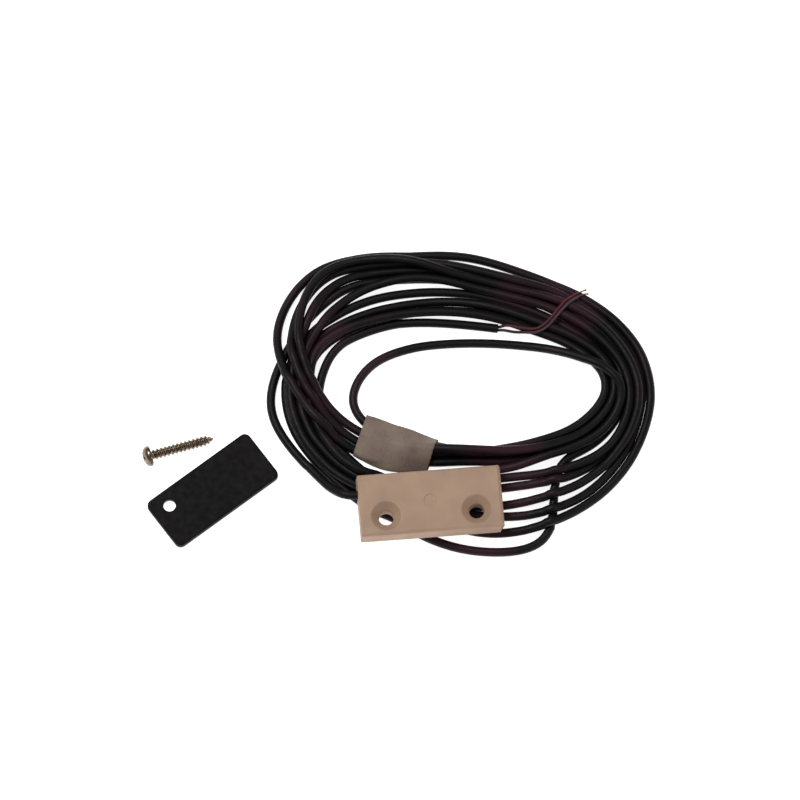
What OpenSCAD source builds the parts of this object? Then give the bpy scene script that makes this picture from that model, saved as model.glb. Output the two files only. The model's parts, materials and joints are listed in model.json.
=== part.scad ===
// Surface-mount door contact set: potted reed switch on a coiled two-core cable,
// a flat magnet plate with one screw hole, and the self-tapping screw that fixes it.
// Everything lies on a table at z = 0. X runs along the switch's long side.

/* [Switch housing] */
// Length of the switch housing, along X
housing_l = 48; // [46:0.5:52]
// Width of the switch housing, along Y
housing_w = 22; // [21.5:0.5:25]
// Height of the switch housing
housing_h = 6.5; // [6.2:0.1:8]
// Distance between the two fixing holes
hole_spacing = 30; // [28:0.5:34]
// Distance of the fixing holes in front of the housing's centre line
hole_offset = 4.2; // [4:0.1:4.6]
// Diameter of the fixing holes
hole_d = 5; // [4:0.1:5.2]
// Diameter of the countersinks at the top face
countersink_d = 10; // [8:0.1:10.2]
// Height of the housing's underside above the table: it lies on the coil
switch_lift = 6.2; // [6.1:0.1:7]

/* [Reed capsule] */
// Diameter of the glass capsule
glass_d = 2.2; // [2:0.1:2.4]
// Length of the glass capsule
glass_l = 14; // [13:0.5:15]
// Free gap between the overlapping blade tips
blade_gap = 0.16; // [0.14:0.01:0.2]

/* [Cable] */
// Outer diameter of the cable
cable_d = 3; // [2.8:0.1:3]
// Outer diameter of each insulated core
core_d = 1; // [0.9:0.1:1.2]
// Diameter of the bare strands at the stripped ends
strand_d = 0.5; // [0.4:0.05:0.6]
// Height of the coiled cable, two layers
coil_h = 6; // [5.5:0.1:6]
// Height of the taped bundle
tape_h = 8.4; // [7:0.1:9]

/* [Magnet plate] */
// Length of the magnet plate
plate_l = 42; // [40:0.5:44]
// Width of the magnet plate
plate_w = 19.2; // [18:0.1:20]
// Thickness of the magnet plate
plate_t = 2.4; // [2.2:0.1:3]
// Corner radius of the magnet plate
plate_corner = 2.2; // [1.5:0.1:3]
// Diameter of the plate's screw hole
plate_hole_d = 4.2; // [3.8:0.1:4.5]
// Angle of the plate to the switch as they lie
plate_turn = 32.5; // [30:0.5:35]

/* [Screw] */
// Length of the screw under its head
screw_l = 22; // [19:1:25]
// Outer diameter of the thread
thread_d = 3.5; // [3.2:0.1:3.6]
// Diameter of the screw's core
thread_core_d = 2.5; // [2.3:0.1:2.7]
// Pitch of the thread
thread_pitch = 1.4; // [1.3:0.1:1.5]
// Diameter of the pan head
head_d = 6.9; // [6.5:0.1:7.2]
// Height of the pan head
head_h = 2.6; // [2.2:0.1:2.8]
// Angle of the screw to the switch as they lie
screw_turn = 13; // [10:0.5:16]

/* [Hidden] */

$fn = 48;
eps = 0.01;

// Where the three loose pieces lie
switch_at = [35, -10, switch_lift];
plate_at = [-36.5, 2.4, 0];
screw_at = [-56.2, 15.4];

// Housing: draft on the sides, a bevel round the top and a round moulded mark
housing_corner = 1.2;
side_draft = 0.4;
top_bevel = 0.8;
mark_d = 4.4;
mark_depth = 0.25;
countersink_h = (countersink_d - hole_d) / 2;

// Cavity for the reed, behind the fixing holes and open underneath
cavity_l = 42;
cavity_y = [1.6, 9];
cavity_h = 5;
cover_t = 1;
end_wall = (housing_l - cavity_l) / 2;

// Reed switch inside the cavity. The parts inside are laid out with the cable leaving
// towards +X, and then mirrored, because it leaves the housing at its left end.
reed_at = [-4, 4.6, 3];
lead_d = 0.56;
glass_wall = 0.3;
seal_l = 1.3;
blade_t = 0.2;
blade_w = 1.1;
blade_overlap = 1.4;
blade_root_gap = 0.1;
blade_l = glass_l / 2 - seal_l - blade_root_gap + blade_overlap / 2;
lead_out = 5.6;

// Soldered laps between the reed's leads and the cable's cores
joint_d = 2.2;
joint_l = 3;
joint_shift = 0.35;
lap_l = 2;
sleeve_t = 0.25;
sleeve_l = 4;
far_joint_x = reed_at.x - glass_l / 2 - lead_out + lap_l - joint_l;
near_joint_x = reed_at.x + glass_l / 2 + lead_out - lap_l;

// Cable inside the housing
jacket_in = 9.5;
jacket_x = housing_l / 2 - jacket_in;
potting_l = 5;
core_shift = 0.7;
red_core_route = [
    [jacket_x, reed_at.y - core_shift, reed_at.z],
    [jacket_x - 1, reed_at.y - core_shift, reed_at.z],
    [near_joint_x + joint_l + 0.8, reed_at.y + joint_shift, reed_at.z],
    [near_joint_x + joint_l, reed_at.y + joint_shift, reed_at.z]
];
black_core_route = [
    [jacket_x, reed_at.y + core_shift, reed_at.z],
    [jacket_x - 1, reed_at.y + core_shift, reed_at.z],
    [10.5, 7.6, reed_at.z],
    [2, 7.6, reed_at.z],
    [-6, 7.6, reed_at.z],
    [-10.8, 7.4, reed_at.z],
    [far_joint_x + joint_l + 0.8, reed_at.y + 0.8, reed_at.z],
    [far_joint_x + joint_l, reed_at.y + 0.8, reed_at.z]
];

// Cable outside: its exit, then the lead, the innermost turn and the tail
exit_at = switch_at + [-housing_l / 2, reed_at.y, reed_at.z];
lead_route = [exit_at, [6, -5.4, 9.2], [1.2, -2.8, 7.6], [-3.4, 2.4, 5.4], [-7, 9, 4]];
loop_route = [
    [22, 18, 4], [16.5, 23, 3], [12.3, 28, 1.8], [11.1, 34, 1.5], [13.2, 39.4, 1.5],
    [18, 43.4, 1.5], [24, 45.8, 1.5], [31, 47, 1.5], [43, 47.2, 1.5], [54, 46.4, 1.5],
    [66, 45, 1.5], [77, 42.6, 1.5], [86, 39.8, 1.5], [92.5, 37, 2], [98, 33, 3]
];
tail_route = [
    [-7, 26, 3], [-3, 30, 2.4], [1.2, 36, 1.5], [3.4, 43, 1.5], [8.4, 49.6, 1.5],
    [16, 53.8, 1.5], [26, 55.4, 1.5], [36, 55, 1.5], [45, 54, 1.5], [54, 52.5, 1.5],
    [62.5, 51, 1.5]
];
jacket_stop = tail_route[len(tail_route) - 1];
tail_ahead = unit(jacket_stop - tail_route[len(tail_route) - 2]);
core_side = 0.6 * cross([0, 0, 1], tail_ahead);
first_leg = 4 * tail_ahead;
red_wire_route = [
    jacket_stop + core_side, jacket_stop + core_side + first_leg, [70, 49.7, 3.4],
    [73.2, 49.2, 5.4], [76.4, 51, 6.9], [79.6, 54.4, 6.9], [83.2, 57.4, 6.8], [87, 59.6, 6.8]
];
black_wire_route = [
    jacket_stop - core_side, jacket_stop - core_side + first_leg, [70.4, 48.3, 3.4],
    [74.2, 48, 5.4], [77.8, 49.8, 6.9], [80.8, 53.2, 6.9], [84.2, 56, 6.8], [87.8, 57.9, 6.8]
];
red_tip_route = [[87, 59.6, 6.8], [89.4, 60.9, 6.8], [92, 62.2, 6.8]];
black_tip_route = [[87.8, 57.9, 6.8], [90.2, 59, 6.8], [92.8, 60, 6.8]];

// Outlines of the hand-wound oval coil, seen from above
coil_outer = [
    [38, 79], [61, 74], [80, 67], [98, 54], [109, 40], [112, 25], [107, 8], [100, -6],
    [86, -15], [74, -22.5], [56, -27.5], [38, -23], [20, -13], [2, 0], [-11, 15],
    [-16, 31], [-12.5, 46], [-11, 59], [-4, 70], [10, 78], [24, 79.5]
];
coil_inner = [
    [97, 26], [90, 17], [76, 12.5], [58, 11], [42, 12.5], [26, 18], [10, 24], [0.5, 31],
    [-0.8, 39], [3, 48.5], [12, 56], [26, 58], [44, 57], [62, 54.6], [78, 49.8], [91, 41],
    [96.5, 34]
];
tape_outline = [[40, 14], [36, 3], [23, 2.5], [12, 9], [10, 17], [16, 24], [26, 20]];

// Magnet plate: pocket for the magnet bar and a thin backing sheet
magnet_size = [24, 12, 1.2];
magnet_shift = 5.5;
backing_t = 0.3;
rim = 0.8;
plate_hole_at = [-plate_l / 2 + 6.3, plate_w / 2 - 5.3];

// Screw: it rests on the rim of its head and on its last full thread
point_l = 4;
rim_back = 0.4;
screw_tilt = atan((head_d - thread_d) / 2 / (screw_l - point_l + rim_back));
axis_h = head_d / 2 * cos(screw_tilt) - rim_back * sin(screw_tilt);
thread_turns = floor((screw_l - point_l - 1) / thread_pitch);
recess_w = 1;
recess_l = 3.8;
recess_depth = 1.6;

function unit(v) = v / norm(v);

// Point between p1 and p2 on a smooth curve through four points
function between(p0, p1, p2, p3, t) =
    0.5 * (2 * p1 + (p2 - p0) * t + (2 * p0 - 5 * p1 + 4 * p2 - p3) * t * t
        + (3 * p1 - p0 - 3 * p2 + p3) * t * t * t);

// Smooth closed outline through the given points
function closed_curve(pts, steps) = [
    for (i = [0 : len(pts) - 1], k = [0 : steps - 1])
        let (n = len(pts))
        between(pts[(i + n - 1) % n], pts[i], pts[(i + 1) % n], pts[(i + 2) % n], k / steps)
];

// Smooth open line through the given points
function open_curve(pts, steps) = [
    for (i = [0 : len(pts) - 2], k = [0 : steps - 1])
        between(pts[max(i - 1, 0)], pts[i], pts[i + 1], pts[min(i + 2, len(pts) - 1)],
            k / steps),
    pts[len(pts) - 1]
];

// Direction of a line of points at point i
function heading(pts, i) = unit(pts[min(i + 1, len(pts) - 1)] - pts[max(i - 1, 0)]);

// Round tube along a route, with flat ends square to the route's first and last leg
module tube(route, d, steps = 1, sides = 8) {
    line = open_curve(route, steps);
    last = len(line) - 1;
    points = [
        for (i = [0 : last])
            let (
                ahead = i == 0 ? heading([route[0], route[1]], 0)
                    : i == last ? heading([route[len(route) - 2], route[len(route) - 1]], 0)
                    : heading(line, i),
                side = unit(cross(ahead, [0, 0, 1])),
                up = cross(side, ahead)
            )
            for (k = [0 : sides - 1])
                let (a = 360 * (k + 0.5) / sides)
                line[i] + d / 2 * (cos(a) * side + sin(a) * up)
    ];
    walls = [
        for (i = [0 : last - 1], k = [0 : sides - 1])
            let (a = i * sides + k, b = i * sides + (k + 1) % sides)
            each [[a, b, b + sides], [a, b + sides, a + sides]]
    ];
    ends = [[for (k = [sides - 1 : -1 : 0]) k], [for (k = [0 : sides - 1]) last * sides + k]];
    polyhedron(points = points, faces = concat(walls, ends));
}

module rounded_box(l, w, h, r) {
    linear_extrude(height = h)
        polygon([
            for (q = [0 : 3], k = [0 : 3])
                let (
                    a = 90 * q + 30 * k,
                    cx = (q == 0 || q == 3 ? 1 : -1) * (l / 2 - r),
                    cy = (q < 2 ? 1 : -1) * (w / 2 - r)
                )
                [cx + r * cos(a), cy + r * sin(a)]
        ]);
}

module x_cylinder(d, l) {
    rotate([0, 90, 0]) cylinder(d = d, h = l);
}

module on_switch() {
    translate(switch_at) children();
}

module in_switch() {
    on_switch() mirror([1, 0, 0]) children();
}

module on_plate() {
    translate(plate_at) rotate([0, 0, plate_turn]) children();
}

module cavity_box(z0, z1, x0 = -cavity_l / 2, x1 = cavity_l / 2) {
    translate([x0, cavity_y[0], z0]) cube([x1 - x0, cavity_y[1] - cavity_y[0], z1 - z0]);
}

// Cream moulded housing with two countersunk fixing holes
module switch_housing() {
    color("wheat") on_switch() difference() {
        hull() {
            rounded_box(housing_l, housing_w, 1, housing_corner);
            translate([0, 0, housing_h - top_bevel - 0.1])
                rounded_box(housing_l - 2 * side_draft, housing_w - 2 * side_draft, 0.1,
                    housing_corner);
            translate([0, 0, housing_h - 0.1])
                rounded_box(housing_l - 2 * (side_draft + top_bevel),
                    housing_w - 2 * (side_draft + top_bevel), 0.1, housing_corner);
        }
        for (side = [-1, 1]) translate([side * hole_spacing / 2, -hole_offset, 0]) {
            translate([0, 0, -1]) cylinder(d = hole_d, h = housing_h + 2);
            translate([0, 0, housing_h - countersink_h])
                cylinder(d1 = hole_d, d2 = countersink_d, h = countersink_h);
        }
        cavity_box(-eps, cavity_h);
        translate([-housing_l / 2 - 1, reed_at.y, reed_at.z]) x_cylinder(cable_d, end_wall + 2);
        translate([0, 0, housing_h - mark_depth]) cylinder(d = mark_d, h = 1);
    }
}

// Flat cover that closes the cavity from below
module back_cover() {
    color("wheat") on_switch() cavity_box(0, cover_t);
}

// Resin that holds the cable in the cavity's end
module potting_resin() {
    color("dimgray") in_switch() difference() {
        cavity_box(cover_t, cavity_h, cavity_l / 2 - potting_l);
        translate([cavity_l / 2 - potting_l - 1, reed_at.y, reed_at.z])
            x_cylinder(cable_d, potting_l + 2);
    }
}

// Sealed glass tube of the reed switch
module reed_capsule() {
    round_r = 0.5;
    r = glass_d / 2;
    half = glass_l / 2;
    color("palegreen", 0.5) in_switch() translate(reed_at) rotate([0, 90, 0]) difference() {
        rotate_extrude()
            polygon([
                [0, -half], [r - round_r, -half], [r - 0.15, -half + 0.15],
                [r, -half + round_r], [r, half - round_r], [r - 0.15, half - 0.15],
                [r - round_r, half], [0, half]
            ]);
        cylinder(r = r - glass_wall, h = glass_l - 2 * seal_l, center = true);
        cylinder(d = lead_d, h = glass_l + 2, center = true);
    }
}

// Nickel-iron lead, from inside the soldered lap to the inner face of the glass seal
module reed_lead(side) {
    l = lead_out + seal_l;
    start = side < 0 ? -glass_l / 2 - lead_out : glass_l / 2 - seal_l;
    in_switch() translate(reed_at + [start, 0, 0]) x_cylinder(lead_d, l);
}

module reed_lead_near() {
    color("silver") reed_lead(1);
}

module reed_lead_far() {
    color("silver") reed_lead(-1);
}

// Flat springy blade; the two blades overlap at the capsule's middle
module reed_blade(side) {
    root = side * (glass_l / 2 - seal_l - blade_root_gap);
    x0 = side < 0 ? root : root - blade_l;
    y0 = side < 0 ? -blade_gap / 2 - blade_t : blade_gap / 2;
    in_switch() translate(reed_at + [x0, y0, -blade_w / 2]) cube([blade_l, blade_t, blade_w]);
}

module reed_blade_near() {
    color("gainsboro") reed_blade(1);
}

module reed_blade_far() {
    color("gainsboro") reed_blade(-1);
}

module at_joints() {
    for (x = [far_joint_x, near_joint_x])
        translate([x, reed_at.y + joint_shift, reed_at.z]) children();
}

// Solder round each lap of lead and core
module solder_joints() {
    color("lightgray") in_switch() difference() {
        at_joints() x_cylinder(joint_d, joint_l);
        for (x = [far_joint_x + joint_l - lap_l, near_joint_x - 1])
            translate([x, reed_at.y, reed_at.z]) x_cylinder(lead_d, lap_l + 1);
    }
}

// Shrink sleeves over the solder
module insulating_sleeves() {
    color("black") in_switch() at_joints() translate([(joint_l - sleeve_l) / 2, 0, 0])
        difference() {
            x_cylinder(joint_d + 2 * sleeve_t, sleeve_l);
            translate([-1, 0, 0]) x_cylinder(joint_d, sleeve_l + 2);
        }
}

// Cable jacket from inside the cavity to the housing's end face
module cable_jacket_end() {
    color("black") in_switch() translate([jacket_x, reed_at.y, reed_at.z])
        x_cylinder(cable_d, jacket_in);
}

module red_core() {
    color("firebrick") in_switch() tube(red_core_route, core_d, 3);
}

module black_core() {
    color("black") in_switch() tube(black_core_route, core_d, 2);
}

// Cable from the housing's end face down into the coil
module cable_lead() {
    color("black") tube(lead_route, cable_d, 2);
}

module coil_tape_outline() {
    polygon(closed_curve(tape_outline, 4));
}

// Outer shape of the hand-wound coil, with room for the taped stretch
module cable_coil() {
    color("black") linear_extrude(height = coil_h) difference() {
        polygon(closed_curve(coil_outer, 4));
        polygon(closed_curve(coil_inner, 4));
        coil_tape_outline();
    }
}

// Innermost turn, which strays from the rest of the coil
module cable_loop() {
    color("black") tube(loop_route, cable_d, 2);
}

// Free end of the cable, up to where its jacket stops
module cable_tail() {
    color("black") tube(tail_route, cable_d, 2);
}

// Masking tape round the inner bundle
module coil_tape() {
    color("tan") linear_extrude(height = tape_h) coil_tape_outline();
}

module red_wire() {
    color("firebrick") tube(red_wire_route, core_d, 2);
}

module black_wire() {
    color("dimgray") tube(black_wire_route, core_d, 2);
}

module red_wire_tip() {
    color("peru") tube(red_tip_route, strand_d);
}

module black_wire_tip() {
    color("peru") tube(black_tip_route, strand_d);
}

module plate_hole() {
    translate([plate_hole_at.x, plate_hole_at.y, -1]) cylinder(d = plate_hole_d, h = plate_t + 2);
}

module magnet_block(h) {
    translate([magnet_shift - magnet_size.x / 2, -magnet_size.y / 2, 0])
        cube([magnet_size.x, magnet_size.y, h]);
}

// Thin black casing, hollowed from below for the magnet and its backing
module actuator_casing() {
    color("black") on_plate() difference() {
        rounded_box(plate_l, plate_w, plate_t, plate_corner);
        translate([0, 0, -eps]) difference() {
            rounded_box(plate_l - 2 * rim, plate_w - 2 * rim, backing_t + eps,
                plate_corner - rim);
            translate([plate_hole_at.x, plate_hole_at.y, -1])
                cylinder(d = plate_hole_d + 2 * rim, h = plate_t);
        }
        translate([0, 0, backing_t - eps]) magnet_block(magnet_size.z + eps);
        plate_hole();
    }
}

// Magnet bar in the casing's pocket
module actuator_magnet() {
    color("gray") on_plate() translate([0, 0, backing_t]) magnet_block(magnet_size.z);
}

// Backing sheet, flush with the casing's rim and open round the screw hole
module actuator_backing() {
    color("darkslategray") on_plate() difference() {
        rounded_box(plate_l - 2 * rim, plate_w - 2 * rim, backing_t, plate_corner - rim);
        translate([plate_hole_at.x, plate_hole_at.y, -1])
            cylinder(d = plate_hole_d + 2 * rim, h = plate_t);
    }
}

// Pan-head self-tapping screw; its axis runs along +X from the underside of the head
module screw_body() {
    r = thread_core_d / 2;
    edge = head_d / 2;
    thread = [
        for (k = [0 : thread_turns])
            let (s = 1 + k * thread_pitch)
            each [[r, s - 0.45], [thread_d / 2, s - 0.06], [thread_d / 2, s + 0.06], [r, s + 0.45]]
    ];
    dome = [for (a = [0 : 15 : 90]) [edge * sin(a) * 0.999, -0.8 - (head_h - 0.8) * cos(a)]];
    rotate([0, 90, 0]) difference() {
        rotate_extrude()
            polygon(concat(dome, [[edge, -0.2], [edge - 0.2, 0], [r, 0]], thread,
                [[r, screw_l - point_l + 0.4], [0, screw_l]]));
        for (turn = [0, 90]) rotate([0, 0, turn + 25])
            translate([-recess_l / 2, -recess_w / 2, -head_h - 1])
                cube([recess_l, recess_w, recess_depth + 1]);
    }
}

module fixing_screw() {
    color("rosybrown") translate([screw_at.x, screw_at.y, axis_h]) rotate([0, 0, screw_turn])
        rotate([0, screw_tilt, 0]) screw_body();
}

switch_housing();
back_cover();
potting_resin();
reed_capsule();
reed_lead_near();
reed_lead_far();
reed_blade_near();
reed_blade_far();
solder_joints();
insulating_sleeves();
cable_jacket_end();
red_core();
black_core();
cable_lead();
cable_coil();
cable_loop();
cable_tail();
coil_tape();
red_wire();
black_wire();
red_wire_tip();
black_wire_tip();
actuator_casing();
actuator_magnet();
actuator_backing();
fixing_screw();
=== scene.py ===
"""Door contact set: a potted reed switch on a coil of two-core cable, a flat magnet plate
and its self-tapping screw. Shapes are worked out in millimetres in the row frame and turned
into metres when a mesh or curve is made."""
import json
import math

import bmesh
import bpy
import numpy as np
from mathutils import Matrix, Vector


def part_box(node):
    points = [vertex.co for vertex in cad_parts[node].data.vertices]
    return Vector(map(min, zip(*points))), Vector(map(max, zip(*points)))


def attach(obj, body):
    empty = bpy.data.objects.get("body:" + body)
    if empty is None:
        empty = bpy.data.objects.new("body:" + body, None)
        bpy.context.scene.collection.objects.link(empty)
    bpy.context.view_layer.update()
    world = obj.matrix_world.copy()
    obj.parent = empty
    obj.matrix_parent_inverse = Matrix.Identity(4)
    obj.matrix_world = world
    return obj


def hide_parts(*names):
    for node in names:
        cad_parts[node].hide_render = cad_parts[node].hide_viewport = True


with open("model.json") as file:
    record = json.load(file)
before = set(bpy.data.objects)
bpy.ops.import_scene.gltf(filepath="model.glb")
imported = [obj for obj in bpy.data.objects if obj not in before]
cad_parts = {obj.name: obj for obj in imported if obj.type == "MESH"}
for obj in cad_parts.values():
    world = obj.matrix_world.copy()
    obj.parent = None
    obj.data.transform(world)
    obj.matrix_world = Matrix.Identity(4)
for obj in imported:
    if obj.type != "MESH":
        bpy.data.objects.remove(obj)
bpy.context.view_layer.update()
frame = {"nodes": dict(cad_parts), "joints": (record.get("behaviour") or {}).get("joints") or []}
nodes = frame["nodes"]
MM = 0.001

# ---------------------------------------------------------------- camera, floor and lights

VIEW_AT = Vector((28, 29.2, 0)) * MM
VIEW_TURN = math.radians(4.5)
VIEW_HEIGHT = math.radians(73)
VIEW_DISTANCE = 3
VIEW_WIDTH = 0.2667
SENSOR = 36
FLOOR_Z = -0.05 * MM


def aim(obj, place, target):
    obj.location = place
    obj.rotation_euler = (Vector(target) - Vector(place)).to_track_quat("-Z", "Y").to_euler()


def add_camera():
    camera = bpy.data.objects.new("camera", bpy.data.cameras.new("camera"))
    bpy.context.collection.objects.link(camera)
    camera.data.sensor_width = SENSOR
    camera.data.lens = SENSOR * VIEW_DISTANCE / VIEW_WIDTH
    camera.data.clip_start = 0.01
    back = Vector((-math.sin(VIEW_TURN), -math.cos(VIEW_TURN), 0)) * math.cos(VIEW_HEIGHT)
    up = Vector((0, 0, math.sin(VIEW_HEIGHT)))
    aim(camera, VIEW_AT + (back + up) * VIEW_DISTANCE, VIEW_AT)
    bpy.context.scene.camera = camera


def add_light(name, place, size, power, colour=(1, 1, 1)):
    light = bpy.data.lights.new(name, "AREA")
    light.shape = "DISK"
    light.size = size
    light.energy = power
    light.color = colour
    obj = bpy.data.objects.new(name, light)
    bpy.context.collection.objects.link(obj)
    aim(obj, VIEW_AT + Vector(place), VIEW_AT)


def add_floor():
    half = 3
    mesh = bpy.data.meshes.new("floor")
    corners = [(-half, -half, FLOOR_Z), (half, -half, FLOOR_Z), (half, half, FLOOR_Z),
               (-half, half, FLOOR_Z)]
    mesh.from_pydata(corners, [], [(0, 1, 2, 3)])
    floor = bpy.data.objects.new("floor", mesh)
    bpy.context.collection.objects.link(floor)
    mat = bpy.data.materials.new("floor_white")
    mat.use_nodes = True
    shader = mat.node_tree.nodes["Principled BSDF"]
    shader.inputs["Base Color"].default_value = (0.9, 0.9, 0.9, 1)
    shader.inputs["Roughness"].default_value = 0.9
    shader.inputs["Emission Color"].default_value = (1, 1, 1, 1)
    shader.inputs["Emission Strength"].default_value = 0.85
    mesh.materials.append(mat)


def add_world():
    world = bpy.data.worlds.new("studio")
    world.use_nodes = True
    sky = world.node_tree.nodes["Background"]
    sky.inputs["Color"].default_value = (1, 1, 1, 1)
    sky.inputs["Strength"].default_value = 0.3
    bpy.context.scene.world = world
    bpy.context.scene.view_settings.view_transform = "Standard"


add_camera()
add_floor()
add_world()
add_light("key", (-0.35, 0.25, 0.9), 0.5, 5.6)
add_light("fill", (0.6, -0.5, 0.6), 0.6, 1.6)

# ---------------------------------------------------------------- materials


class Look:
    """A procedural material: a principled shader and the nodes that feed it"""

    def __init__(self, name):
        self.material = bpy.data.materials.new(name)
        self.material.use_nodes = True
        self.tree = self.material.node_tree
        self.shader = self.tree.nodes["Principled BSDF"]
        self.place = self.tree.nodes.new("ShaderNodeTexCoord").outputs["Object"]

    def node(self, kind, **inputs):
        made = self.tree.nodes.new(kind)
        for key, value in inputs.items():
            self.feed(made.inputs[key.replace("_", " ")], value)
        return made

    def feed(self, socket, value):
        if isinstance(value, bpy.types.NodeSocket):
            self.tree.links.new(value, socket)
        else:
            socket.default_value = value

    def stretched(self, scale):
        """The object's coordinates, scaled along each axis"""
        made = self.node("ShaderNodeMapping", Scale=scale)
        self.feed(made.inputs["Vector"], self.place)
        return made.outputs["Vector"]

    def noise(self, scale, detail=3.0, rough=0.5, place=None):
        made = self.node("ShaderNodeTexNoise", Scale=scale, Detail=detail, Roughness=rough)
        self.feed(made.inputs["Vector"], place or self.place)
        return made.outputs["Fac"]

    def between(self, value, low, high, to_low=0.0, to_high=1.0):
        made = self.node("ShaderNodeMapRange")
        for key, number in (("From Min", low), ("From Max", high), ("To Min", to_low),
                            ("To Max", to_high)):
            made.inputs[key].default_value = number
        self.feed(made.inputs["Value"], value)
        return made.outputs["Result"]

    def mixed(self, factor, a, b):
        made = self.tree.nodes.new("ShaderNodeMix")
        made.data_type = "RGBA"
        self.feed(made.inputs[0], factor)
        self.feed(made.inputs[6], a)
        self.feed(made.inputs[7], b)
        return made.outputs[2]

    def sum(self, a, b, share=1.0):
        scaled = self.tree.nodes.new("ShaderNodeMath")
        scaled.operation = "MULTIPLY_ADD"
        self.feed(scaled.inputs[0], b)
        scaled.inputs[1].default_value = share
        self.feed(scaled.inputs[2], a)
        return scaled.outputs[0]

    def bumps(self, height, strength, distance):
        made = self.node("ShaderNodeBump", Strength=strength, Distance=distance, Height=height)
        self.feed(self.shader.inputs["Normal"], made.outputs["Normal"])

    def set(self, **inputs):
        for key, value in inputs.items():
            self.feed(self.shader.inputs[key.replace("_", " ")], value)


def rgb(red, green, blue):
    """Linear colour of a screen colour given from 0 to 255"""
    return tuple((v / 255) ** 2.2 for v in (red, green, blue)) + (1,)


def cream_plastic():
    """Aged beige moulding: faint mottling, a fine moulded grain and a few rubbed spots"""
    look = Look("cream_plastic")
    mottle = look.between(look.noise(90, 4), 0.35, 0.65)
    base = look.mixed(mottle, rgb(176, 146, 122), rgb(163, 135, 115))
    rubbed = look.between(look.noise(420, 6, 0.7), 0.6, 0.8, 0.0, 0.35)
    look.set(Base_Color=look.mixed(rubbed, base, rgb(186, 160, 138)))
    look.set(Roughness=look.between(look.noise(260, 5), 0.3, 0.7, 0.42, 0.6))
    look.set(Specular_IOR_Level=0.35, Subsurface_Weight=0.06, Subsurface_Radius=(1, 0.6, 0.4))
    look.set(Subsurface_Scale=0.0008)
    grain = look.sum(look.noise(5200, 2), look.noise(900, 3), 0.6)
    look.bumps(grain, 0.3, 0.00004)
    return look.material


def masking_tape():
    """Thin crepe paper tape: fine cross wrinkles, a few longer folds and yellowed patches"""
    look = Look("masking_tape")
    crepe = look.noise(1500, 4, 0.6, look.stretched((2.4, 0.6, 1.0)))
    folds = look.noise(210, 3, 0.5, look.stretched((1.5, 0.7, 1.0)))
    patch = look.between(look.noise(110, 3), 0.35, 0.65)
    base = look.mixed(patch, rgb(132, 117, 104), rgb(108, 94, 88))
    ridges = look.between(crepe, 0.4, 0.75, 0, 0.4)
    look.set(Base_Color=look.mixed(ridges, base, rgb(150, 134, 118)))
    look.set(Roughness=look.between(crepe, 0.3, 0.7, 0.6, 0.8), Specular_IOR_Level=0.25)
    look.bumps(look.sum(crepe, folds, 1.6), 0.7, 0.00022)
    return look.material


def cable_pvc(name, dark, tint, sheen_rough):
    """Soft PVC: nearly even colour with broad tinted stretches, scuffs and a fine matt skin"""
    look = Look(name)
    broad = look.between(look.noise(26, 2), 0.48, 0.64)
    base = look.mixed(broad, dark, tint)
    scuff = look.between(look.noise(1400, 5, 0.7), 0.62, 0.8, 0, 0.25)
    look.set(Base_Color=look.mixed(scuff, base, rgb(70, 62, 62)))
    look.set(Roughness=look.between(look.noise(700, 4), 0.3, 0.7, sheen_rough - 0.08,
                                    sheen_rough + 0.1))
    look.set(Specular_IOR_Level=0.16)
    look.bumps(look.sum(look.noise(3600, 2), look.noise(600, 3), 0.8), 0.25, 0.00004)
    return look.material


def black_plate():
    """Matt black moulding with a fine grain, light scratches and a dusty bloom"""
    look = Look("black_plastic")
    dust = look.between(look.noise(45, 5, 0.6), 0.4, 0.75, 0, 0.5)
    streaks = look.noise(300, 6, 0.75, look.stretched((0.25, 3.2, 1)))
    scratch = look.between(streaks, 0.66, 0.8, 0, 0.5)
    base = look.mixed(dust, rgb(8, 8, 8), rgb(30, 22, 26))
    look.set(Base_Color=look.mixed(scratch, base, rgb(58, 57, 56)))
    look.set(Roughness=look.between(look.noise(500, 4), 0.3, 0.7, 0.48, 0.66))
    look.set(Specular_IOR_Level=0.12)
    look.bumps(look.sum(look.noise(6000, 2), look.noise(1200, 3), 0.5), 0.3, 0.00003)
    return look.material


def metal(name, light, dark, rough_low, rough_high, streak=(1, 1, 1), dirt=0.3):
    """Bare or plated metal: streaks from working it and a dull film in patches"""
    look = Look(name)
    streaks = look.noise(1800, 4, 0.6, look.stretched(streak))
    film = look.between(look.noise(420, 5, 0.6), 0.42, 0.72, 0, dirt)
    base = look.mixed(look.between(streaks, 0.35, 0.65), light, dark)
    look.set(Base_Color=look.mixed(film, base, rgb(92, 72, 54)), Metallic=1.0)
    look.set(Roughness=look.between(streaks, 0.3, 0.7, rough_low, rough_high))
    look.bumps(streaks, 0.2, 0.00003)
    return look.material


def speckled(name, a, b, scale, rough):
    """Dull moulded or sintered stuff with a speckle of a second shade"""
    look = Look(name)
    specks = look.between(look.noise(scale, 5, 0.65), 0.4, 0.65)
    look.set(Base_Color=look.mixed(specks, a, b))
    dull = look.noise(scale * 0.5, 3)
    look.set(Roughness=look.between(dull, 0.3, 0.7, rough - 0.1, rough + 0.1))
    look.bumps(look.noise(scale * 2, 3), 0.4, 0.00004)
    return look.material


def reed_glass():
    """Greenish sealed glass, slightly wavy"""
    look = Look("reed_glass")
    wave = look.noise(320, 2)
    look.set(Base_Color=look.mixed(look.between(wave, 0.3, 0.7), rgb(196, 226, 204),
                                   rgb(178, 214, 190)))
    look.set(Transmission_Weight=0.9, IOR=1.5)
    look.set(Roughness=look.between(wave, 0.3, 0.7, 0.03, 0.09))
    look.bumps(wave, 0.1, 0.00002)
    return look.material


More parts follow.
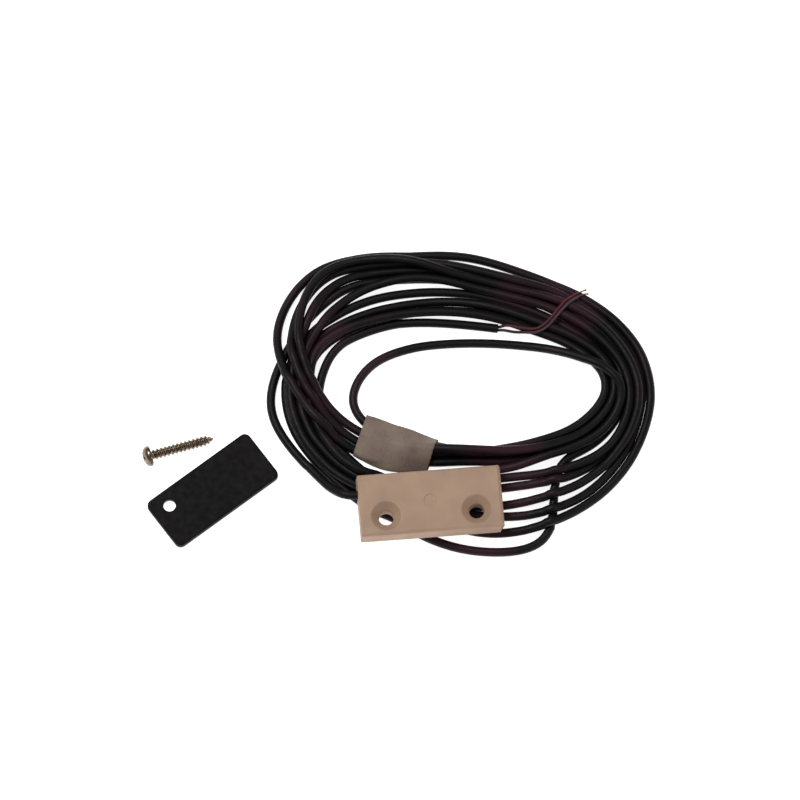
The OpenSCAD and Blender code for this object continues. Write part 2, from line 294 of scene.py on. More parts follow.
JACKET_DARK = rgb(21, 20, 21)
JACKET_TINT = rgb(50, 31, 39)
looks = {
    "cream_plastic": cream_plastic(),
    "masking_tape": masking_tape(),
    "cable_jacket": cable_pvc("cable_jacket", JACKET_DARK, JACKET_TINT, 0.46),
    "red_insulation": cable_pvc("red_insulation", rgb(80, 42, 50), rgb(94, 36, 46), 0.42),
    "black_insulation": cable_pvc("black_insulation", rgb(66, 56, 60), rgb(78, 66, 70), 0.45),
    "bare_copper": metal("bare_copper", rgb(168, 116, 94), rgb(118, 76, 60), 0.28, 0.45),
    "black_plastic": black_plate(),
    "magnet": speckled("magnet", rgb(66, 64, 62), rgb(84, 80, 76), 2600, 0.55),
    "backing": speckled("backing", rgb(52, 50, 48), rgb(68, 64, 60), 3800, 0.8),
    "screw_steel": metal("screw_steel", rgb(152, 142, 130), rgb(92, 66, 46), 0.2, 0.36,
                         (0.3, 1, 1), 0.45),
    "resin": speckled("resin", rgb(44, 44, 42), rgb(58, 56, 52), 700, 0.35),
    "reed_glass": reed_glass(),
    "nickel_iron": metal("nickel_iron", rgb(196, 192, 184), rgb(160, 156, 150), 0.2, 0.35,
                         (0.3, 1, 1), 0.1),
    "solder": metal("solder", rgb(190, 190, 188), rgb(150, 150, 152), 0.25, 0.45, (1, 1, 1), 0.15),
    "sleeve": cable_pvc("sleeve", rgb(26, 26, 28), rgb(36, 34, 34), 0.5),
}

# Finish of the CAD nodes that stay as they are
NODE_LOOKS = {
    "back_cover": "cream_plastic", "potting_resin": "resin", "reed_capsule": "reed_glass",
    "reed_lead_near": "nickel_iron", "reed_lead_far": "nickel_iron",
    "reed_blade_near": "nickel_iron", "reed_blade_far": "nickel_iron",
    "solder_joints": "solder", "insulating_sleeves": "sleeve",
    "cable_jacket_end": "cable_jacket", "red_core": "red_insulation",
    "black_core": "black_insulation", "actuator_magnet": "magnet",
    "actuator_backing": "backing",
}
for name, slot in NODE_LOOKS.items():
    slots = nodes[name].data.materials
    if slots:
        for index in range(len(slots)):
            slots[index] = looks[slot]
    else:
        slots.append(looks[slot])


def add_piece(name, data, slot, body, replaced=()):
    """An object with its finish, that rides on a body and stands for CAD nodes"""
    obj = bpy.data.objects.new(name, data)
    bpy.context.collection.objects.link(obj)
    data.materials.clear()
    data.materials.append(looks[slot])
    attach(obj, body)
    if replaced:
        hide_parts(*replaced)
    return obj


# ---------------------------------------------------------------- the coiled cable

CABLE_D = 3.0
STEP = 1.6
CENTRE = (52, 28)
FIRST_RAY = 202.5
RAY_STEP = 22.5

# Where the cable leaves the housing, and its first bend down to the coil
LEAD = [(11, -5.4, 9.2), (8.6, -5.2, 9.2), (6, -4.3, 8.9), (2.5, -1, 7.6), (-0.6, 2.9, 6.2)]
# Distance of each turn from the coil's centre at the rays 202.5, 180, 157.5 ... 225 degrees,
# one row a turn; the cable runs clockwise. They were set from distances measured in the
# photograph along those rays, and adjusted to bring the settled coil closer to it; where
# strands lie in one bundle, which of them lies where is a guess
TURNS = [
    (59.0, 67.4, 62.6, 57.4, 47.6, 41.0, 38.8, 42.0, 47.8, 52.0, 45.0, 37.0, 55.2, 53.8, 51.2, 48.6),
    (55.0, 61.6, 59.6, 49.6, 40.6, 36.1, 35.0, 36.9, 43.2, 48.8, 42.0, 30.6, 25.0, 21.9, 22.8, 28.9),
    (43.5, 55.5, 68.6, 67.8, 54.2, 49.3, 46.3, 48.3, 53.6, 58.2, 57.4, 54.0, 50.6, 47.6, 44.5, 47.4),
    (52.0, 58.8, 53.6, 41.2, 34.0, 30.2, 29.8, 31.9, 40.6, 46.4, 39.4, 28.4, 22.6, 19.6, 20.8, 25.8),
    (39.0, 51.6, 63.0, 64.5, 51.2, 44.3, 42.0, 45.4, 51.4, 56.0, 54.6, 51.2, 46.1, 41.4, 41.0, 46.0),
    (49.4, 55.8, 56.8, 44.2, 36.0, 32.0, 31.2, 33.1, 40.0, 48.0, 39.4, 28.4, 22.8, 20.0, 20.6, 24.4),
    (34.5, 48.5, 61.0, 65.6, 52.6, 41.3, 39.0, 44.0, 50.2, 55.0, 53.0, 47.2, 40.8, 38.6, 38.0, 44.6),
    (53.5, 60.2, 60.4, 59.9, 49.2, 42.6, 40.2, 43.2, 48.8, 54.2, 51.2, 42.6, 34.8, 32.6, 33.5, 43.0),
    (51.4, 57.4, 57.0, 52.9, 45.8, 38.9, 36.6, 39.8, 46.2, 53.2, 50.6, 40.2, 31.0, 29.3, 31.0, 42.0),
    (50.0, 54.0, 54.2, 40.6, 32.3, 28.6, 28.2, 30.0, 38.4, 46.6, 37.0, 26.4, 21.4, 20.6, 20.6, 23.0),
    (31.5, 40.5, 35.5, 25.9, 20.4, 18.6, 19.4, 23.4, 33.0, 50.0, 44.5, 31.8, 28.0, 26.2, 27.6, 40.0),
]
# The last stretch, up to the end of the jacket
TAIL = [(6.7, 9.2), (0.8, 28), (4.2, 42.6), (8.8, 49.2), (16.2, 53.4), (26, 55.3), (36, 55.1),
        (45, 54.2), (54, 52.7), (62.5, 51)]
# Turns that come out of the tape and cross over the others, and how high they start
CROSSING = {3: 13, 5: 14, 7: 15}
LAST_CROSSING_RAY = 8
# The small loop is the last turn, and it lies on top of the right-hand bundle
LOOP = 11
LOOP_OVER = range(7, 13)
LOOP_LAYER = 16
LAYER_H = 3.1


def layer(turn, ray):
    if turn in CROSSING and ray <= LAST_CROSSING_RAY:
        return CROSSING[turn]
    if turn == LOOP and ray in LOOP_OVER:
        return LOOP_LAYER
    return turn


def smooth(knots, step):
    """Points a step apart along a smooth curve through the knots"""
    knots = np.array(knots, float)
    ends = np.vstack([2 * knots[0] - knots[1], knots, 2 * knots[-1] - knots[-2]])
    t = np.linspace(0, 1, 24, endpoint=False)[:, None]
    runs = []
    for a, b, c, d in zip(ends[:-3], ends[1:-2], ends[2:-1], ends[3:]):
        slope, bend, twist = c - a, 2 * a - 5 * b + 4 * c - d, 3 * b - a - 3 * c + d
        runs.append(0.5 * (2 * b + slope * t + bend * t**2 + twist * t**3))
    line = np.vstack(runs + [knots[-1:]])
    return resampled(line, step, 2)


def resampled(line, step, axes=3):
    """Points an even step apart, measured over the first two or all three axes"""
    legs = np.linalg.norm(np.diff(line[:, :axes], axis=0), axis=1)
    along = np.concatenate([[0], np.cumsum(legs)])
    places = np.linspace(0, along[-1], int(round(along[-1] / step)) + 1)
    return np.stack([np.interp(places, along, line[:, i]) for i in range(3)], 1)


def coil_start():
    """The cable with its turns still far apart above each other"""
    knots = list(LEAD)
    for turn, reaches in enumerate(TURNS, 1):
        for ray, reach in enumerate(reaches):
            if turn == 1 and ray == 0:
                continue
            angle = math.radians(FIRST_RAY - RAY_STEP * ray)
            height = CABLE_D / 2 + LAYER_H * (layer(turn, ray) - 1)
            knots.append((CENTRE[0] + reach * math.cos(angle),
                          CENTRE[1] + reach * math.sin(angle), height))
    top = CABLE_D / 2 + LAYER_H * len(TURNS)
    knots += [(x, y, top) for x, y in TAIL]
    return smooth(knots, STEP)


def close_pairs(points, reach, apart):
    """Pairs of points nearer than reach that are more than apart points from each other"""
    first, second = [], []
    for start in range(0, len(points), 256):
        gaps = points[start:start + 256, None, :] - points[None, :, :]
        i, j = np.nonzero((gaps**2).sum(2) < reach * reach)
        i = i + start
        keep = j - i > apart
        first.append(i[keep])
        second.append(j[keep])
    return np.concatenate(first), np.concatenate(second)


# Room under the switch housing for the coil, and the round from which that limit holds
UNDER_X = (9.6, 60.4)
UNDER_Y = (-22.4, 2.4)
UNDER_Z = 4.62
HOUSING_DOWN = 200
# Rounds in all, those with the fast fall, and the last ones, with more passes each
ROUNDS = 520
FALL_ROUNDS = 240
SETTLE_ROUNDS = 160
# How far the cable sinks in a round, at first and later
FALL = 0.25
SINK_STEP = 0.07
# Share by which the turns are drawn back over their plan in a round
PLAN_HOLD = 0.26
# Points at the housing's end that stay where they are
PINNED = 4
# Bending stiffness: distance between the points that it compares, and its share
STIFFNESS = ((1, 0.35), (3, 0.25), (7, 0.12))
# Half the length, in points, over which a crossing strand's hump is spread, and its share
HUMP = 5
HUMP_SHARE = 0.07
# Strands nearer than this may touch before neighbours are looked for again
NEAR = CABLE_D + 1.8
LOOK_EVERY = 6
CLEARANCE = 0.04
# Shortest and longest distance of neighbouring points, in steps
SHORTEST = 0.9
LONGEST = 1.08


def settled(points):
    """Drops the cable turn on turn, with its thickness, stiffness and length kept"""
    p = points.copy()
    plan = p[:, :2].copy()
    start = p[:PINNED].copy()
    apart = int(round(3 * CABLE_D / STEP))
    count = len(p)
    for turn in range(ROUNDS):
        p[:, 2] -= FALL if turn < FALL_ROUNDS else SINK_STEP
        p[:, :2] += PLAN_HOLD * (plan - p[:, :2])
        for gap, stiff in STIFFNESS:
            bend = (p[:-4 * gap] - 4 * p[gap:-3 * gap] + 6 * p[2 * gap:-2 * gap]
                    - 4 * p[3 * gap:-gap] + p[4 * gap:])
            p[2 * gap:-2 * gap] -= stiff / 6 * bend
        level = 0.5 * (p[:-2 * HUMP, 2] + p[2 * HUMP:, 2])
        p[HUMP:-HUMP, 2] += HUMP_SHARE * (level - p[HUMP:-HUMP, 2])
        if turn % LOOK_EVERY == 0:
            first, second = close_pairs(p, NEAR, apart)
        for _ in range(6 if turn >= ROUNDS - SETTLE_ROUNDS else 4):
            push_apart(p, first, second, count)
            hold_length(p)
            p[:, 2] = np.maximum(p[:, 2], CABLE_D / 2)
            if turn > HOUSING_DOWN:
                under = ((p[:, 0] > UNDER_X[0]) & (p[:, 0] < UNDER_X[1])
                         & (p[:, 1] > UNDER_Y[0]) & (p[:, 1] < UNDER_Y[1]))
                under[:PINNED] = False
                p[under, 2] = np.minimum(p[under, 2], UNDER_Z)
            p[:PINNED] = start
    return p


def push_apart(p, first, second, count):
    """Moves apart the points that are nearer to each other than the cable is thick"""
    line = p[second] - p[first]
    gap = np.sqrt((line * line).sum(1)) + 1e-9
    short = CABLE_D + CLEARANCE - gap
    near = short > 0
    i, j = first[near], second[near]
    push = line[near] * (0.5 * short[near] / gap[near])[:, None]
    touching = np.bincount(i, minlength=count) + np.bincount(j, minlength=count)
    share = 1 / np.maximum(1, 0.6 * touching)
    for axis in range(3):
        moved = np.bincount(j, push[:, axis], count) - np.bincount(i, push[:, axis], count)
        p[:, axis] += moved * share


def hold_length(p):
    """Keeps neighbouring points about a step apart"""
    for odd in (0, 1):
        behind, ahead = p[odd:-1:2], p[odd + 1::2]
        size = min(len(behind), len(ahead))
        line = ahead[:size] - behind[:size]
        gap = np.sqrt((line * line).sum(1)) + 1e-9
        off = np.clip(gap - LONGEST * STEP, 0, None) + np.clip(gap - SHORTEST * STEP, None, 0)
        line *= (0.5 * off / gap)[:, None]
        p[odd:-1:2][:size] += line
        p[odd + 1::2][:size] -= line


def round_curve(name, diameter, sides):
    """An empty curve whose splines are round and closed at their ends"""
    curve = bpy.data.curves.new(name, "CURVE")
    curve.dimensions = "3D"
    curve.bevel_depth = diameter / 2 * MM
    curve.bevel_resolution = sides
    curve.use_fill_caps = True
    return curve


def add_tube(name, line, diameter, slot, body, replaced=(), sides=4):
    """A round cord as one open spline"""
    curve = round_curve(name, diameter, sides)
    add_spline(curve, line)
    return add_piece(name, curve, slot, body, replaced)


def add_spline(curve, line):
    spline = curve.splines.new("POLY")
    spline.points.add(len(line) - 1)
    flat = np.concatenate([np.array(line, float) * MM, np.ones((len(line), 1))], 1)
    spline.points.foreach_set("co", flat.ravel())
    spline.use_smooth = True


def length_of(line):
    return float(np.linalg.norm(np.diff(np.array(line, float), axis=0), axis=1).sum()) * MM


cable_line = settled(coil_start())
cable = add_tube("cable", cable_line, CABLE_D, "cable_jacket", "switch",
                 ("cable_lead", "cable_coil", "cable_loop", "cable_tail"))

# ---------------------------------------------------------------- the two wires at its end

CORE_D = 1.0
JACKET_STOP = np.array([62.5, 51, 1.5])
WIRES = {
    "red": [(66.2, 50.7, 1.9), (70.4, 49.5, 3.4), (74.6, 48.7, 5.4), (77.9, 49.9, 6.9),
            (81, 52.8, 6.9), (83.8, 55.8, 6.8), (86.7, 58.3, 6.8), (89.7, 60.4, 6.8)],
    "black": [(66.2, 49.6, 1.9), (70.4, 48.4, 3.4), (74.7, 47.6, 5.4), (78.6, 48.9, 6.9),
              (81.8, 52, 6.9), (84.6, 54.9, 6.8), (87.4, 57.3, 6.8), (90.3, 59.4, 6.8)],
}
TIPS = {
    "red": [(89.7, 60.4, 6.8), (91.4, 61.4, 6.8), (93.2, 62.6, 6.8)],
    "black": [(90.3, 59.4, 6.8), (92, 60.3, 6.8), (93.8, 61, 6.8)],
}
# Where the wires start, beside each other in the jacket's end
WIRE_SIDE = {"red": 0.5, "black": -0.5}
WIRE_START = np.array([-0.5, 0.06, 0])
WIRE_STEP = 0.5
WIRE_SMOOTHING = 6
IN_JACKET = 4
# The bare strands are twisted together and splay a little towards their ends
STRANDS = 6
STRAND_D = 0.17
STRAND_TURN = 9
SPLAY = 0.0012


def resting(line, radius):
    """The line laid on the cable and the floor, with long low humps between its rests"""
    reach = CABLE_D / 2 + radius
    low = np.empty(len(line))
    for i, point in enumerate(line):
        off = np.linalg.norm(cable_line[:, :2] - point[:2], axis=1)
        near = off < reach
        rests = cable_line[near, 2] + np.sqrt(reach**2 - off[near] ** 2)
        low[i] = max([radius] + list(rests))
    height = low.copy()
    for _ in range(60):
        height[1:-1] = np.maximum(low[1:-1], 0.5 * (height[:-2] + height[2:]) - 0.01)
    out = line.copy()
    out[:, 2] = height + 0.03
    return out


for colour, route in WIRES.items():
    side = np.array([0.12, 0.99, 0]) * WIRE_SIDE[colour]
    whole = smooth([tuple(JACKET_STOP + side + WIRE_START)] + route + TIPS[colour][1:],
                   WIRE_STEP)
    whole[IN_JACKET:] = resting(whole, CORE_D / 2)[IN_JACKET:]
    for _ in range(WIRE_SMOOTHING):
        whole[1:-1] = 0.5 * whole[1:-1] + 0.25 * (whole[:-2] + whole[2:])
    ends = np.linalg.norm(whole[:, :2] - np.array(TIPS[colour][0][:2]), axis=1).argmin()
    insulated, bare = whole[:ends + 1], whole[ends - 1:]
    tips = round_curve(colour + "_strands", STRAND_D, 2)
    for strand in range(STRANDS):
        line = bare.copy()
        for i in range(len(line)):
            turn = 2 * math.pi * (strand / STRANDS + i / STRAND_TURN)
            spread = STRAND_D + SPLAY * i * i * (1 + 0.5 * math.sin(strand * 2.1))
            line[i] += (0, spread * math.cos(turn), spread * math.sin(turn))
        add_spline(tips, line)
    strands = add_piece(colour + "_strands", tips, "bare_copper", "switch",
                        (colour + "_wire_tip",))
    wire = add_tube(colour + "_lead_wire", insulated, CORE_D, colour + "_insulation", "switch",
                    (colour + "_wire",), 3)
    length_of(insulated)

# ---------------------------------------------------------------- tape round the inner bundle

# Its two long edges as it lies, from its left end to its right end, before the wrap
TAPE_BACK = [(16.2, 23.4), (22, 21.6), (28.6, 18.6), (34, 15.6), (39.2, 12.9)]
TAPE_FRONT = [(11.2, 11.2), (15.8, 7.6), (21.4, 4.9), (28.2, 3.6), (35, 3.2)]
TAPE_STATIONS = 48
TAPE_SIDES = 96
TAPE_GAP = 0.1
TAPE_T = 0.2
TAPE_FOOT = 0.26
TAPE_SMOOTHING = 6
EDGE_R = 1.1
# Stations on each side whose cable the tape also lies over
TAPE_REACH = 3


def hull(points):
    """Convex hull of points in a plane, anticlockwise"""
    pts = sorted(map(tuple, points))

    def chain(run):
        out = []
        for q in run:
            while len(out) > 1 and ((out[-1][0] - out[-2][0]) * (q[1] - out[-2][1])
                                    - (out[-1][1] - out[-2][1]) * (q[0] - out[-2][0])) <= 0:
                out.pop()
            out.append(q)
        return out[:-1]

    return np.array(chain(pts) + chain(pts[::-1]))


def even(line, count):
    """Count points evenly spaced along a smooth curve in the plane"""
    fine = smooth([(x, y, 0) for x, y in line], 0.1)
    places = np.linspace(0, len(fine) - 1, count)
    return np.stack([np.interp(places, np.arange(len(fine)), fine[:, i]) for i in range(2)], 1)


def ring_points(s, z, radius_s, radius_z):
    """Points round one pass of the cable, which may be cut at a slant"""
    turns = np.linspace(0, 2 * math.pi, 24, endpoint=False)
    return list(zip(s + radius_s * np.cos(turns), z + radius_z * np.sin(turns)))


def rim_points(front, back):
    """Points round the cable's passes through the upright plane through two edge points"""
    width = np.linalg.norm(back - front)
    across = (back - front) / width
    along = np.array([-across[1], across[0]])
    rel = cable_line[:, :2] - front
    ahead, side, height = rel @ along, rel @ across, cable_line[:, 2]
    radius = CABLE_D / 2 + TAPE_GAP
    rim = ring_points(EDGE_R, EDGE_R + 0.15, EDGE_R, EDGE_R)
    rim += ring_points(width - EDGE_R, EDGE_R + 0.6, EDGE_R, EDGE_R)
    for i in np.nonzero(ahead[:-1] * ahead[1:] < 0)[0]:
        step = ahead[i + 1] - ahead[i]
        t = -ahead[i] / step
        s = side[i] + t * (side[i + 1] - side[i])
        if 0.3 < s < width - 0.3:
            z = height[i] + t * (height[i + 1] - height[i])
            rim += ring_points(s, z, radius / max(abs(step) / STEP, 0.8), radius)
    return rim


def taut(rim):
    """Outline of a tape pulled tight round the points, met by rays from its middle"""
    loop = hull(rim)
    low, high = loop.min(0), loop.max(0)
    middle, half = (low + high) / 2, (high - low) / 2
    turns = np.linspace(0, 2 * math.pi, TAPE_SIDES, endpoint=False)
    rays = np.stack([half[0] * np.cos(turns), half[1] * np.sin(turns)], 1)
    side = np.roll(loop, -1, axis=0) - loop
    normal = np.stack([side[:, 1], -side[:, 0]], 1)
    reach = (normal * (loop - middle)).sum(1)
    facing = rays @ normal.T
    with np.errstate(divide="ignore", invalid="ignore"):
        far = np.where(facing > 1e-9, reach / facing, np.inf).min(1)
    return middle + rays * far[:, None]


def add_tape():
    fronts, backs = even(TAPE_FRONT, TAPE_STATIONS), even(TAPE_BACK, TAPE_STATIONS)
    rims = [rim_points(front, back) for front, back in zip(fronts, backs)]
    shape = np.array([taut(sum(rims[max(0, k - TAPE_REACH):k + TAPE_REACH + 1], []))
                      for k in range(TAPE_STATIONS)])
    for _ in range(TAPE_SMOOTHING):
        padded = np.concatenate([shape[:1], shape, shape[-1:]])
        shape = 0.5 * shape + 0.25 * (padded[:-2] + padded[2:])
    mesh = bmesh.new()
    layers = []
    for grow in (0, TAPE_T):
        rows = []
        for front, back, outline in zip(fronts, backs, shape):
            across = (back - front) / np.linalg.norm(back - front)
            away = outline - outline.mean(0)
            away /= np.linalg.norm(away, axis=1)[:, None]
            row = []
            for s, z in outline + away * grow:
                x, y = front + across * s
                row.append(mesh.verts.new(Vector((x, y, max(z, TAPE_FOOT - grow))) * MM))
            rows.append(row)
        layers.append(rows)
    inner, outer = layers
    for j in range(TAPE_SIDES):
        n = (j + 1) % TAPE_SIDES
        for k in range(TAPE_STATIONS - 1):
            mesh.faces.new((outer[k][j], outer[k][n], outer[k + 1][n], outer[k + 1][j]))
            mesh.faces.new((inner[k][j], inner[k + 1][j], inner[k + 1][n], inner[k][n]))
        for k in (0, -1):
            mesh.faces.new((inner[k][j], inner[k][n], outer[k][n], outer[k][j]))
    bmesh.ops.recalc_face_normals(mesh, faces=mesh.faces)
    data = bpy.data.meshes.new("tape_wrap")
    mesh.to_mesh(data)
    mesh.free()
    data.shade_smooth()
    return add_piece("tape_wrap", data, "masking_tape", "switch", ("coil_tape",))


tape = add_tape()
length_of(cable_line)

# ---------------------------------------------------------------- moulded and turned shapes


def rounded_outline(length, width, radius, sides=6):
    """Corner points of a rectangle with round corners, anticlockwise"""
    out = []
    for quarter, (sx, sy) in enumerate(((1, 1), (-1, 1), (-1, -1), (1, -1))):
        for k in range(sides + 1):
            a = math.pi / 2 * (quarter + k / sides)
            out.append((sx * (length / 2 - radius) + radius * math.cos(a),
                        sy * (width / 2 - radius) + radius * math.sin(a)))
    return out


def stacked(rings):
    """A closed solid through rings of points, each with the same count"""
    mesh = bmesh.new()
    rows = [[mesh.verts.new(p) for p in ring] for ring in rings]
    size = len(rows[0])
    for low, high in zip(rows[:-1], rows[1:]):
        for j in range(size):
            n = (j + 1) % size
            mesh.faces.new((low[j], low[n], high[n], high[j]))
    mesh.faces.new(rows[0][::-1])
    mesh.faces.new(rows[-1])
    bmesh.ops.recalc_face_normals(mesh, faces=mesh.faces)
    return mesh


def slab(length, width, radius, levels):
    """A block with round corners; each level is its height and how far its sides stand in"""
    rings = []
    for height, inset in levels:
        outline = rounded_outline(length - 2 * inset, width - 2 * inset,
                                  max(radius - 0.5 * inset, 0.3))
        rings.append([(x, y, height) for x, y in outline])
    return stacked(rings)


def turned(profile, sides=64):
    """A solid turned round the Z axis from a list of (radius, height)"""
    rings = []
    for radius, height in profile:
        rings.append([(radius * math.cos(2 * math.pi * k / sides),
                       radius * math.sin(2 * math.pi * k / sides), height) for k in range(sides)])
    return stacked(rings)


def box_mesh(low, high):
    mesh = bmesh.new()
    bmesh.ops.create_cube(mesh, size=1)
    for v in mesh.verts:
        v.co = Vector([low[i] + (v.co[i] + 0.5) * (high[i] - low[i]) for i in range(3)])
    return mesh


def to_object(mesh, name, place):
    data = bpy.data.meshes.new(name)
    mesh.transform(place)
    mesh.to_mesh(data)
    mesh.free()
    obj = bpy.data.objects.new(name, data)
    bpy.context.collection.objects.link(obj)
    return obj


def carved(body, cutters, name):
    """The body's mesh with the cutters taken away, its flat faces kept flat"""
    obj = to_object(body, name + "_body", Matrix.Identity(4))
    tools = []
    for i, (mesh, place) in enumerate(cutters):
        tool = to_object(mesh, f"{name}_cut_{i}", place)
        tools.append(tool)
        cut = obj.modifiers.new(f"cut_{i}", "BOOLEAN")
        cut.operation = "DIFFERENCE"
        cut.solver = "EXACT"
        cut.object = tool
    shaped = obj.evaluated_get(bpy.context.evaluated_depsgraph_get())
    data = bpy.data.meshes.new_from_object(shaped)
    data.name = name
    for extra in tools + [obj]:
        bpy.data.objects.remove(extra, do_unlink=True)
    return data


def finish_mesh(data, place, sharp=32):
    data.transform(place)
    data.shade_smooth()
    data.set_sharp_from_angle(angle=math.radians(sharp))
    data.update()
    return data


def weigh_normals(obj):
    weighted = obj.modifiers.new("weighted_normals", "WEIGHTED_NORMAL")
    weighted.keep_sharp = True
    weighted.weight = 100


TO_METRES = Matrix.Scale(MM, 4)


def foot_and_size(node):
    """The middle of a CAD node's underside and its size, in whole thousandths of a millimetre"""
    low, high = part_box(node)
    middle, size = (low + high) / 2 / MM, (high - low) / MM
    foot = Vector((round(middle.x, 3), round(middle.y, 3), round(low.z / MM, 3)))
    return foot, tuple(round(v, 3) for v in size)


# Switch housing: a bevelled block with two countersunk holes and a round moulded mark
SWITCH_AT, SWITCH_SIZE = foot_and_size("switch_housing")
HOUSING = (*SWITCH_SIZE[:2], 0.7)
HOUSING_LEVELS = [(0, 0.22), (0.07, 0.07), (0.22, 0), (1, 0), (5.45, 0.36), (5.62, 0.40),
                  (5.74, 0.47), (6.34, 1.03), (6.44, 1.11), (6.5, 1.22)]
HOLES = [(-15, -4.2), (15, -4.2)]
SINK = [(2.5, -1), (2.5, 3.8), (2.56, 4.0), (2.72, 4.2), (4.76, 6.26), (4.9, 6.38),
        (5.08, 6.47), (5.3, 6.5), (5.3, 8)]
MARK = [(1.98, 6.27), (2.06, 6.28), (2.12, 6.33), (2.16, 6.42), (2.2, 6.48), (2.26, 6.5),
        (2.26, 8)]
CAVITY = ((-21, 1.6, -1), (21, 9, 5))
CABLE_HOLE = (4.6, 3.0)
# One corner is cut off
CORNER_CUT = [(22.2, -11.2), (24.2, -11.2), (24.2, -8.5)]


def add_housing():
    cuts = [(turned(SINK), Matrix.Translation((x, y, 0))) for x, y in HOLES]
    cuts.append((turned(MARK, 48), Matrix.Identity(4)))
    cuts.append((box_mesh(*CAVITY), Matrix.Identity(4)))
    corner = stacked([[(x, y, height) for x, y in CORNER_CUT] for height in (-1, 8)])
    cuts.append((corner, Matrix.Identity(4)))
    bore = turned([(CABLE_D / 2, 0), (CABLE_D / 2, 5)], 32)
    lie = Matrix.Rotation(math.pi / 2, 4, "Y")
    cuts.append((bore, Matrix.Translation((-25, *CABLE_HOLE)) @ lie))
    data = carved(slab(*HOUSING, HOUSING_LEVELS), cuts, "housing_shell")
    finish_mesh(data, TO_METRES @ Matrix.Translation(SWITCH_AT))
    shell = add_piece("housing_shell", data, "cream_plastic", "switch", ("switch_housing",))
    weigh_normals(shell)


add_housing()

# Magnet plate: a thin slab with soft edges, hollow below for its magnet and backing
PLATE_AT = foot_and_size("actuator_casing")[0]
PLATE_TURN = math.radians(32.5)
PLATE = (42, 19.2, 2.2)
PLATE_LEVELS = [(0, 0.12), (0.05, 0.04), (0.14, 0), (1.9, 0.05), (2.1, 0.09), (2.26, 0.2),
                (2.35, 0.34), (2.4, 0.52)]
PLATE_HOLE = (-14.7, 4.3)
PLATE_BORE = [(2.28, -1), (2.28, 0.02), (2.14, 0.14), (2.1, 0.3), (2.1, 2.1), (2.16, 2.28),
              (2.3, 2.4), (2.3, 4)]


def add_plate():
    place = Matrix.Translation(PLATE_AT) @ Matrix.Rotation(PLATE_TURN, 4, "Z")
    pocket = slab(40.4, 17.6, 1.4, [(-1, 0), (0.3, 0)])
    boss = turned([(2.9, -2), (2.9, 1)], 48)
    pocket_data = carved(pocket, [(boss, Matrix.Translation((*PLATE_HOLE, 0)))], "pocket")
    pocket = bmesh.new()
    pocket.from_mesh(pocket_data)
    bpy.data.meshes.remove(pocket_data)
    magnet_low, magnet_high = local_box("actuator_magnet", place)
    cuts = [(pocket, Matrix.Identity(4)),
            (box_mesh((magnet_low[0], magnet_low[1], 0.2), magnet_high), Matrix.Identity(4)),
            (turned(PLATE_BORE, 48), Matrix.Translation((*PLATE_HOLE, 0)))]
    data = carved(slab(*PLATE, PLATE_LEVELS), cuts, "plate_shell")
    finish_mesh(data, TO_METRES @ place)
    shell = add_piece("plate_shell", data, "black_plastic", "actuator", ("actuator_casing",))
    weigh_normals(shell)


def local_box(node, place):
    """Lowest and highest corner of a CAD node in a piece's own millimetres"""
    back = place.inverted()
    corners = [back @ (v.co / MM) for v in nodes[node].data.vertices]
    low = [min(c[i] for c in corners) for i in range(3)]
    high = [max(c[i] for c in corners) for i in range(3)]
    return low, high


add_plate()

# Screw: pan head with a cross recess and a rolled thread that runs out at both ends
SCREW_JOINT = next(j for j in frame["joints"] if j["name"] == "screw_turn")
SCREW_AT = Vector([round(v / MM, 4) for v in SCREW_JOINT["pos_m"]])
SCREW_TURN = math.radians(13)
SCREW_TILT = math.radians(5.279)
SCREW_L = 22
THREAD_R = 1.75
CORE_R = 1.25
PITCH = 1.4
POINT_L = 4
# Where the thread starts under the head, and the lengths over which it rises and runs out
THREAD_FROM = 0.3
THREAD_IN = 0.9
THREAD_OUT = 2.2
# Half a ridge's width, as a share of the pitch, and how blunt its crest is
RIDGE_HALF = 0.42
RIDGE_BLUNT = 1.15
SHANK_SIDES = 40
SHANK_STEP = 0.1
SHANK_END = 0.05
HEAD = [(1.25, 0.3), (1.3, 0.05), (1.5, 0), (3.25, 0), (3.4, -0.1), (3.45, -0.3), (3.45, -0.75),
        (3.4, -1.0), (3.25, -1.35), (3.0, -1.66), (2.62, -1.98), (2.1, -2.25), (1.5, -2.45),
        (0.8, -2.56), (0.2, -2.6)]
CROSS = [(3.8, 1.0), (2.6, 0.62)]
CROSS_DEPTH = 1.6


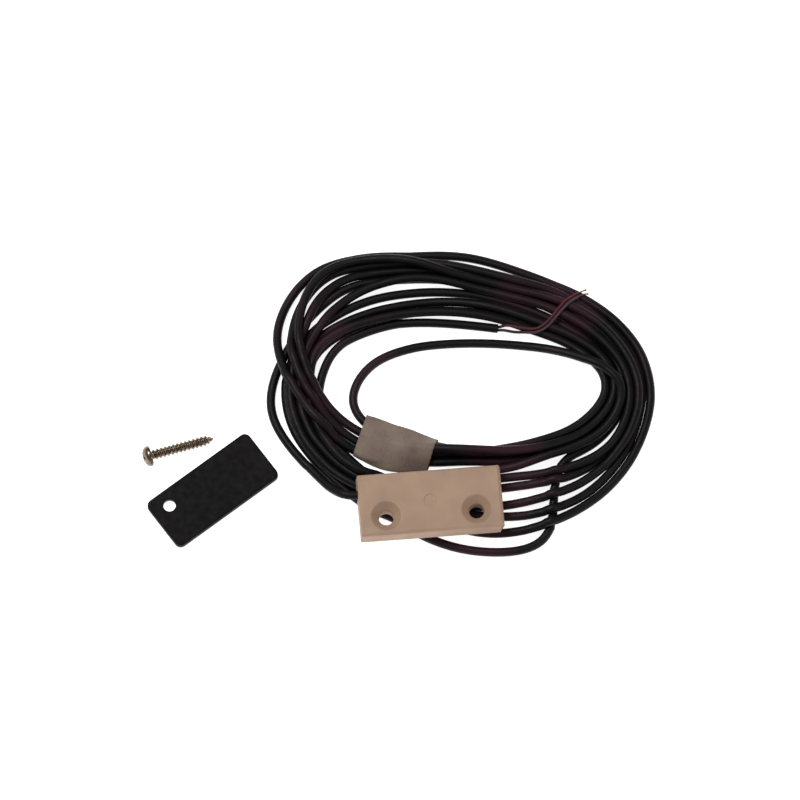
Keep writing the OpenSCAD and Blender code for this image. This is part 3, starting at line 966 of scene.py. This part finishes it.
def screw_place():
    """From a screw drawn along Z, with its head below zero, to where it lies"""
    lie = Matrix.Rotation(math.pi / 2, 4, "Y")
    return (Matrix.Translation(SCREW_AT) @ Matrix.Rotation(SCREW_TURN, 4, "Z")
            @ Matrix.Rotation(SCREW_TILT, 4, "Y") @ lie)


def add_shank():
    """The screw under its head, as rings from the head to just short of the point"""
    rings = []
    steps = int(round((SCREW_L - SHANK_END) / SHANK_STEP))
    for k in range(steps + 1):
        s = (SCREW_L - SHANK_END) * k / steps
        left = SCREW_L - s
        point = min(1, left / POINT_L)
        narrow = math.sin(point * math.pi / 2) ** 0.85
        core = max(SHANK_END, CORE_R * narrow)
        rise = (THREAD_R - CORE_R) * min(1, max(0, s - THREAD_FROM) / THREAD_IN)
        rise *= min(1, left / THREAD_OUT)
        ring = []
        for j in range(SHANK_SIDES):
            turn = j / SHANK_SIDES
            phase = (s / PITCH - turn) % 1
            ridge = max(0, 1 - abs(phase - 0.5) / RIDGE_HALF)
            r = core + rise * min(1, RIDGE_BLUNT * ridge)
            a = 2 * math.pi * turn
            ring.append((r * math.cos(a), r * math.sin(a), s))
        rings.append(ring)
    data = bpy.data.meshes.new("screw_shank")
    mesh = stacked(rings)
    mesh.to_mesh(data)
    mesh.free()
    finish_mesh(data, TO_METRES @ screw_place(), 48)
    return data


def cross_slot(turn):
    """One of the two crossed tapering slots in the head"""
    rings = []
    for z, (length, width) in ((-3.5, CROSS[0]), (-2.6, CROSS[0]), (-2.6 + CROSS_DEPTH, CROSS[1])):
        x, y = length / 2, width / 2
        rings.append([(x, -y, z), (x, y, z), (-x, y, z), (-x, -y, z)])
    return stacked(rings), Matrix.Rotation(math.radians(turn + 25), 4, "Z")


def add_screw():
    shank = add_piece("screw_shank", add_shank(), "screw_steel", "screw", ("fixing_screw",))
    weigh_normals(shank)
    head = turned(HEAD[::-1], 64)
    data = carved(head, [cross_slot(0), cross_slot(90)], "screw_head")
    finish_mesh(data, TO_METRES @ screw_place(), 40)
    top = add_piece("screw_head", data, "screw_steel", "screw")
    weigh_normals(top)


add_screw()
